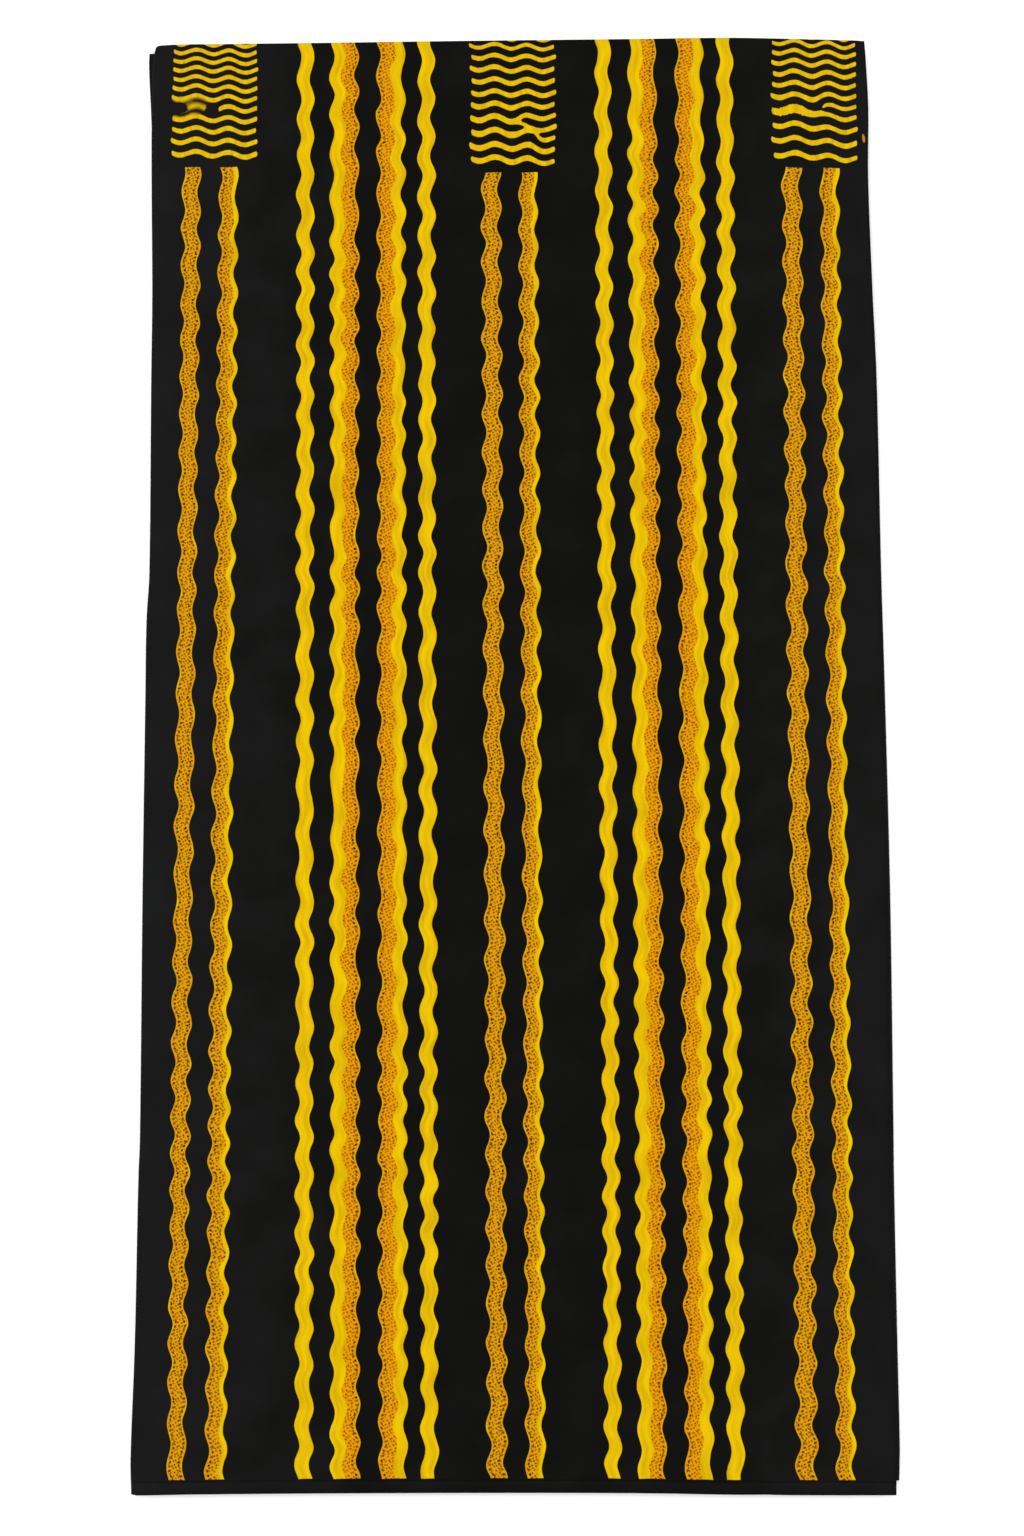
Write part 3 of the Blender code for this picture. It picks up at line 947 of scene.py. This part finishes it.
def dotted_ink(tree, c, across, down, inside):
    """Gold or ochre ink with brown dots inside, and a row of larger, nearly black ones along each edge."""
    in_pair = add(tree, MATH, (across, PAIRS_BEFORE), operation="LESS_THAN")
    clears = {SHARE: in_pair, FIRST: rgba(c.ochre), SECOND: rgba(c.gold)}
    clear = add(tree, MIX, clears, **IN_COLOUR)
    darker = add(tree, MATH, (in_pair, PAIR_DOT_DARKENING), operation="MULTIPLY")
    browns = {SHARE: darker, FIRST: rgba(c.dot_brown), SECOND: rgba(c.dot_black)}
    dot = add(tree, MIX, browns, **IN_COLOUR)
    # Each dot took the ink differently, so its strength varies.
    small, tone = dots(tree, across, down, INNER_DOT_SPACING, randomness=0.5, size=0.4, skew=DOT_SKEW)
    share = add(tree, MATH, (tone, 0.5, 0.5), operation="MULTIPLY_ADD")
    share = add(tree, MATH, (small, share), operation="MULTIPLY")
    ink = add(tree, MIX, {SHARE: share, FIRST: clear, SECOND: dot}, **IN_COLOUR)
    row = add(tree, MATH, (inside, EDGE_DOT_INSET), operation="SUBTRACT")
    large, tone = dots(tree, row, down, EDGE_DOT_SPACING, randomness=0.35, size=0.52, skew=0.0)
    in_row = add(tree, MATH, (row, 0.0, EDGE_ROW_HALF_WIDTH), operation="COMPARE")
    share = add(tree, MATH, (tone, 0.45, 0.55), operation="MULTIPLY_ADD")
    share = add(tree, MATH, (share, in_row), operation="MULTIPLY")
    share = add(tree, MATH, (large, share), operation="MULTIPLY")
    ink = add(tree, MIX, {SHARE: share, FIRST: ink, SECOND: rgba(c.dot_black)}, **IN_COLOUR)
    rim = add(tree, "ShaderNodeMapRange", (inside, *RIM_INSETS))
    return add(tree, MIX, {SHARE: rim, FIRST: clear, SECOND: ink}, **IN_COLOUR)


def wax_printed_cotton():
    """Plain-woven dress cotton, wax-resist printed on both faces."""
    # The eye gets a matt face with no highlight, full inks with crisp edges, and threads that just show.
    s, c = sizes(), colours()
    material = bpy.data.materials.new("wax_printed_cotton")
    material.use_nodes = True
    tree = material.node_tree
    shader = tree.nodes["Principled BSDF"]
    band = band_group()

    wide, along, down, width = print_places(tree, s)
    waved = add(tree, MATH, (along, wave(tree, s, wide, along, down)), operation="SUBTRACT")
    across = across_repeat(tree, s, waved)
    to_end = add(tree, MATH, (PRINT_END, down), operation="SUBTRACT")
    printed_length = (s.panels - 0.5) * s.panel_width * MM - UNPRINTED_END
    to_cut_end = add(tree, MATH, (along, printed_length), operation="ADD")
    to_end = add(tree, MATH, (to_end, to_cut_end), operation="MINIMUM")

    block_place, column = repeat_column(tree, s, along)
    block_place = add(tree, MATH, (block_place, by_column(tree, column, SHIFT)), operation="SUBTRACT")
    from_start = add(tree, MATH, (down, by_column(tree, column, PAIR_START)), operation="SUBTRACT")
    pairs = widest_inset(tree, band, across, [(row[FROM], row[TO]) for row in PAIRS])
    groups = widest_inset(tree, band, across, [(row[FROM], row[TO]) for row in GROUPS])
    inside = add(tree, MATH, (pairs, groups), operation="MAXIMUM")
    pairs = add(tree, MATH, (pairs, from_start), operation="MINIMUM")
    stripes = add(tree, MATH, (pairs, groups), operation="MAXIMUM")
    stripes = add(tree, MATH, (stripes, to_end), operation="MINIMUM")

    # The dots spread unevenly into the plain side of a stripe.
    spread = add(tree, "ShaderNodeTexNoise", {"Vector": wide, "Scale": SPREAD_GRAIN, "Detail": 1.0})
    spread = add(tree, MATH, (spread, SPREAD, -SPREAD / 2), operation="MULTIPLY_ADD")
    dotted_bands = [(row[DOTTED_FROM], row[DOTTED_TO]) for row in STRIPES]
    dotted_bands = [(start, end) for start, end in dotted_bands if end > start]
    dotted = widest_inset(tree, band, across, dotted_bands)
    dotted = add(tree, MATH, (dotted, spread), operation="ADD")

    # Plain yellow takes the ink in soft streaks along the stripes.
    drawn_out = add(tree, MATH, (down, STREAKS_DOWN), operation="MULTIPLY")
    streaks = add(tree, "ShaderNodeCombineXYZ", (across, drawn_out, 0.0))
    streaks = add(tree, "ShaderNodeTexNoise", {"Vector": streaks, "Scale": STREAK_GRAIN, "Detail": 2.0})
    streaks = add(tree, "ShaderNodeMapRange", (streaks, 0.35, 0.7))
    yellows = {SHARE: streaks, FIRST: rgba(c.yellow), SECOND: rgba(c.yellow_deep)}
    plain = add(tree, MIX, yellows, **IN_COLOUR)
    band_edge = (dotted, -BAND_BLEED, BAND_BLEED)
    dotted_share = add(tree, "ShaderNodeMapRange", band_edge, interpolation_type="SMOOTHSTEP")
    dotted_colour = dotted_ink(tree, c, across, down, inside)
    stripe_ink = {SHARE: dotted_share, FIRST: plain, SECOND: dotted_colour}
    stripe_ink = add(tree, MIX, stripe_ink, **IN_COLOUR)

    bar_mask, bar_dots = bars(tree, wide, block_place, down, column)
    printed = add(tree, MATH, (to_cut_end, 0.0), operation="GREATER_THAN")
    bar_mask = add(tree, MATH, (bar_mask, printed), operation="MULTIPLY")
    bar_ink = {SHARE: bar_dots, FIRST: plain, SECOND: rgba(c.ochre)}
    bar_ink = add(tree, MIX, bar_ink, **IN_COLOUR)

    fleck = add(tree, "ShaderNodeCombineXYZ", (along, width, 0.0))
    fleck = add(tree, "ShaderNodeVectorMath", (fleck, FLECK_PLACE), operation="SUBTRACT")
    turned = {"Vector": fleck, "Angle": FLECK_TURN}
    fleck = add(tree, "ShaderNodeVectorRotate", turned, rotation_type="Z_AXIS")
    fleck = add(tree, "ShaderNodeVectorMath", (fleck, FLECK_NARROWING), operation="MULTIPLY")
    fleck = add(tree, "ShaderNodeVectorMath", (fleck,), output=1, operation="LENGTH")
    fleck = add(tree, "ShaderNodeMapRange", (fleck, 1.1, 0.8, 0.0, FLECK_STRENGTH))

    ground = ground_colour(tree, c, wide, along, down)
    stripe_edge = (stripes, -INK_BLEED, INK_BLEED)
    stripe_mask = add(tree, "ShaderNodeMapRange", stripe_edge, interpolation_type="SMOOTHSTEP")
    colour = add(tree, MIX, {SHARE: stripe_mask, FIRST: ground, SECOND: stripe_ink}, **IN_COLOUR)
    colour = add(tree, MIX, {SHARE: bar_mask, FIRST: colour, SECOND: bar_ink}, **IN_COLOUR)
    colour = add(tree, MIX, {SHARE: fleck, FIRST: colour, SECOND: rgba(c.ochre)}, **IN_COLOUR)

    # Threads shade the ink a little as well as standing up in it, and so does the selvedge's groove.
    weave = weave_height(tree, s, wide)
    shade = add(tree, MATH, (weave, THREAD_SHADE, 1 - THREAD_SHADE / 2), operation="MULTIPLY_ADD")
    groove = (down, PRINT_END + GROOVE_BELOW, GROOVE_HALF_WIDTH)
    in_groove = add(tree, MATH, groove, operation="COMPARE")
    shade = add(tree, MATH, (in_groove, -GROOVE_SHADE, shade), operation="MULTIPLY_ADD")
    shaded = {SHARE: 1.0, FIRST: colour, SECOND: shade}
    colour = add(tree, MIX, shaded, **IN_COLOUR, blend_type="MULTIPLY")
    slubs = add(tree, "ShaderNodeTexNoise", {"Vector": wide, "Scale": SLUB_GRAIN, "Detail": 2.0})
    height = add(tree, MATH, (weave, 0.6, slubs), operation="MULTIPLY_ADD")
    bump = add(tree, "ShaderNodeBump", {"Strength": 0.18, "Distance": 0.0003, "Height": height})

    tree.links.new(colour, shader.inputs["Base Color"])
    tree.links.new(bump, shader.inputs["Normal"])
    shader.inputs["Roughness"].default_value = 0.82
    shader.inputs["Specular IOR Level"].default_value = 0.03
    return material


# The camera looks down on the cloth from a little below its middle, as it was photographed. The lens is in
# millimetres, the tilt and roll in degrees, and the distance and the point it aims at in metres.
LENS = 70.0
CAMERA_DISTANCE = 1.2271
CAMERA_TILT = 5.827
CAMERA_ROLL = 0.182
AIM = (-0.00133, -0.00812)
FLOOR_HALF_WIDTH = 12.0


class SetStage(bpy.types.Operator):
    """Lay the pale floor, and place the camera and the soft lights"""

    bl_idname = "cloth.set_stage"
    bl_label = "Set Stage"

    def execute(self, context):
        scene = context.scene
        self.lay_floor(scene)
        self.place_camera(scene)
        self.place_lights(scene)
        scene.view_settings.view_transform = "Standard"
        scene.view_settings.look = "None"
        return {"FINISHED"}

    def lay_floor(self, scene):
        bm = bmesh.new()
        bmesh.ops.create_grid(bm, x_segments=1, y_segments=1, size=FLOOR_HALF_WIDTH)
        mesh = bpy.data.meshes.new("floor")
        bm.to_mesh(mesh)
        bm.free()
        floor = bpy.data.objects.new("floor", mesh)
        # Matt white paint, rolled on: an even, nearly white surface with no highlight
        paint = bpy.data.materials.new("matt_white_paint")
        paint.use_nodes = True
        shader = paint.node_tree.nodes["Principled BSDF"]
        shader.inputs["Base Color"].default_value = rgba(colours().floor)
        shader.inputs["Roughness"].default_value = 0.9
        shader.inputs["Specular IOR Level"].default_value = 0.1
        mesh.materials.append(paint)
        scene.collection.objects.link(floor)

    def place_camera(self, scene):
        tilt = math.radians(CAMERA_TILT)
        data = bpy.data.cameras.new("camera")
        data.lens = LENS
        camera = bpy.data.objects.new("camera", data)
        aim = Vector((*AIM, sizes().pile_height))
        camera.location = aim + CAMERA_DISTANCE * Vector((0, -math.sin(tilt), math.cos(tilt)))
        roll = Euler((0, 0, -math.radians(CAMERA_ROLL))).to_matrix()
        camera.rotation_euler = (Euler((tilt, 0, 0)).to_matrix() @ roll).to_euler()
        scene.collection.objects.link(camera)
        scene.camera = camera

    def place_lights(self, scene):
        # x, y, z, size and watts of each soft light, all aimed at the middle of the cloth
        for name, x, y, z, size, power in (
            ("overhead_softbox", -0.15, 0.25, 2.6, 1.3, 50.0),
            ("side_fill", 1.9, -0.4, 1.6, 1.6, 4.0),
            ("low_fill", -1.7, -1.2, 1.5, 1.6, 4.0),
        ):
            data = bpy.data.lights.new(name, "AREA")
            data.shape = "SQUARE"
            data.size = size
            data.energy = power
            light = bpy.data.objects.new(name, data)
            light.location = (x, y, z)
            light.rotation_euler = light.location.to_track_quat("Z", "Y").to_euler()
            scene.collection.objects.link(light)
        world = bpy.data.worlds.new("studio")
        world.use_nodes = True
        background = world.node_tree.nodes["Background"]
        background.inputs["Color"].default_value = (1.0, 1.0, 1.0, 1.0)
        background.inputs["Strength"].default_value = 0.7
        scene.world = world


class ClothPanel(bpy.types.Panel):
    """Sizes, inks and the steps that make the folded cloth"""

    bl_idname = "VIEW3D_PT_wax_print_cloth"
    bl_label = "Folded Wax Print Cloth"
    bl_space_type = "VIEW_3D"
    bl_region_type = "UI"
    bl_category = "Cloth"

    def draw(self, context):
        for group in (context.scene.cloth_sizes, context.scene.print_colours):
            for name in group.__annotations__:
                self.layout.prop(group, name)
        for operator in (FoldCloth, SetStage):
            self.layout.operator(operator.bl_idname)


CLASSES = (ClothSizes, PrintColours, FoldCloth, SetStage, ClothPanel)


def register():
    for cls in CLASSES:
        bpy.utils.register_class(cls)
    bpy.types.Scene.cloth_sizes = bpy.props.PointerProperty(type=ClothSizes)
    bpy.types.Scene.print_colours = bpy.props.PointerProperty(type=PrintColours)


def unregister():
    del bpy.types.Scene.print_colours
    del bpy.types.Scene.cloth_sizes
    for cls in reversed(CLASSES):
        bpy.utils.unregister_class(cls)


def main():
    register()
    bpy.ops.cloth.fold_wax_print()
    bpy.ops.cloth.set_stage()


if __name__ == "__main__":
    main()
